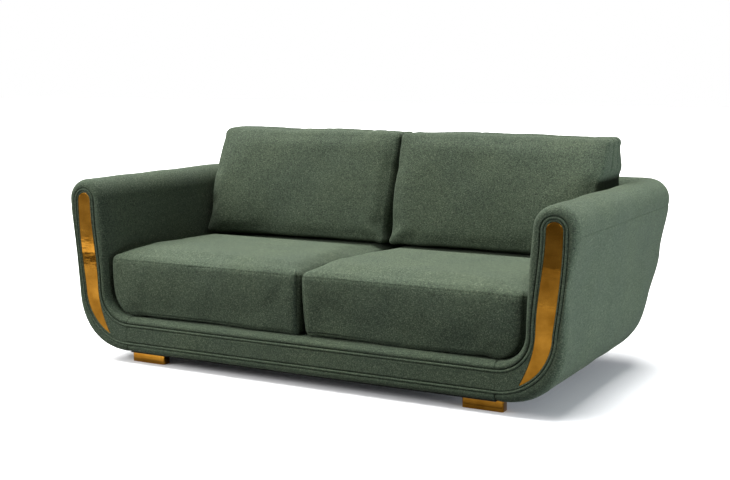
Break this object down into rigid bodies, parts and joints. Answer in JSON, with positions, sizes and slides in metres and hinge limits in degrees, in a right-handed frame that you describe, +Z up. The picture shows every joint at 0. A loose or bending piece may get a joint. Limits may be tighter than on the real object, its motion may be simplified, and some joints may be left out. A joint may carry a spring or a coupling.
{
  "type": "sofa",
  "caption": "Low upholstered sofa with rolled arms and back, a U-shaped front with piping and brass inlays, loose seat and back cushions, on square metal feet.",
  "frame": {"origin": "middle of the footprint, on the floor", "axes": "+X to the viewer's right along the sofa's width, -Y out of the front of the seat, +Z up"},
  "size_m": [2.012, 1.1686, 0.853],
  "materials": {
    "fabric": "heathered dark green woven wool-like upholstery, matte",
    "brass": "polished, mirror-like",
    "timber": "unfinished planed softwood and plywood, hidden",
    "steel": "plain drawn spring wire and zinc bolts, hidden",
    "webbing": "woven elastic webbing, hidden",
    "lining": "thin black non-woven dust cover"
  },
  "bodies": {
    "frame": {"outer_side_cover_right": "fabric", "outer_side_cover_left": "fabric", "outer_back_cover": "fabric", "arm_pad_right": "fabric", "arm_pad_left": "fabric", "back_pad": "fabric", "seat_corner_pad_right": "fabric", "seat_corner_pad_left": "fabric", "arm_front_band_right": "fabric", "arm_front_band_left": "fabric", "brass_inlay_right": "brass", "brass_inlay_left": "brass", "arm_front_border_right": "fabric", "arm_front_border_left": "fabric", "rail_band": "fabric", "rail_lower_border": "fabric", "rail_upper_border": "fabric", "piping": "fabric", "foot_front_right": "brass", "foot_bolt_front_right": "steel", "foot_front_left": "brass", "foot_bolt_front_left": "steel", "foot_rear_right": "brass", "foot_bolt_rear_right": "steel", "foot_rear_left": "brass", "foot_bolt_rear_left": "steel", "base_front_rail": "timber", "base_rear_rail": "timber", "base_side_rail_right": "timber", "base_side_rail_left": "timber", "base_centre_rail": "timber", "dust_cover": "lining", "seat_spring_1": "steel", "seat_spring_2": "steel", "seat_spring_3": "steel", "seat_spring_4": "steel", "seat_spring_5": "steel", "seat_spring_6": "steel", "seat_deck": "fabric", "arm_front_board_right": "timber", "arm_front_board_left": "timber", "arm_rear_board_right": "timber", "arm_rear_board_left": "timber", "arm_top_rail_right": "timber", "arm_top_rail_left": "timber", "arm_lower_rail_right": "timber", "arm_lower_rail_left": "timber", "back_rib_left": "timber", "back_rib_centre": "timber", "back_rib_right": "timber", "back_top_rail": "timber", "back_webbing_1": "webbing", "back_webbing_2": "webbing", "back_webbing_3": "webbing"},
    "seat_cushion_right": {"seat_cushion_right": "fabric"},
    "seat_cushion_left": {"seat_cushion_left": "fabric"},
    "back_cushion_right": {"back_cushion_right": "fabric"},
    "back_cushion_left": {"back_cushion_left": "fabric"}
  },
  "joints": [
    {"name": "seat_cushion_right_slide", "type": "slide", "parent": "frame", "child": "seat_cushion_right", "axis": [0, -1, 0], "range_m": [0, 0.9]},
    {"name": "seat_cushion_left_slide", "type": "slide", "parent": "frame", "child": "seat_cushion_left", "axis": [0, -1, 0], "range_m": [0, 0.9]},
    {"name": "back_cushion_right_lift", "type": "slide", "parent": "frame", "child": "back_cushion_right", "axis": [0, 0, 1], "range_m": [0, 0.3]},
    {"name": "back_cushion_left_lift", "type": "slide", "parent": "frame", "child": "back_cushion_left", "axis": [0, 0, 1], "range_m": [0, 0.3]}
  ]
}
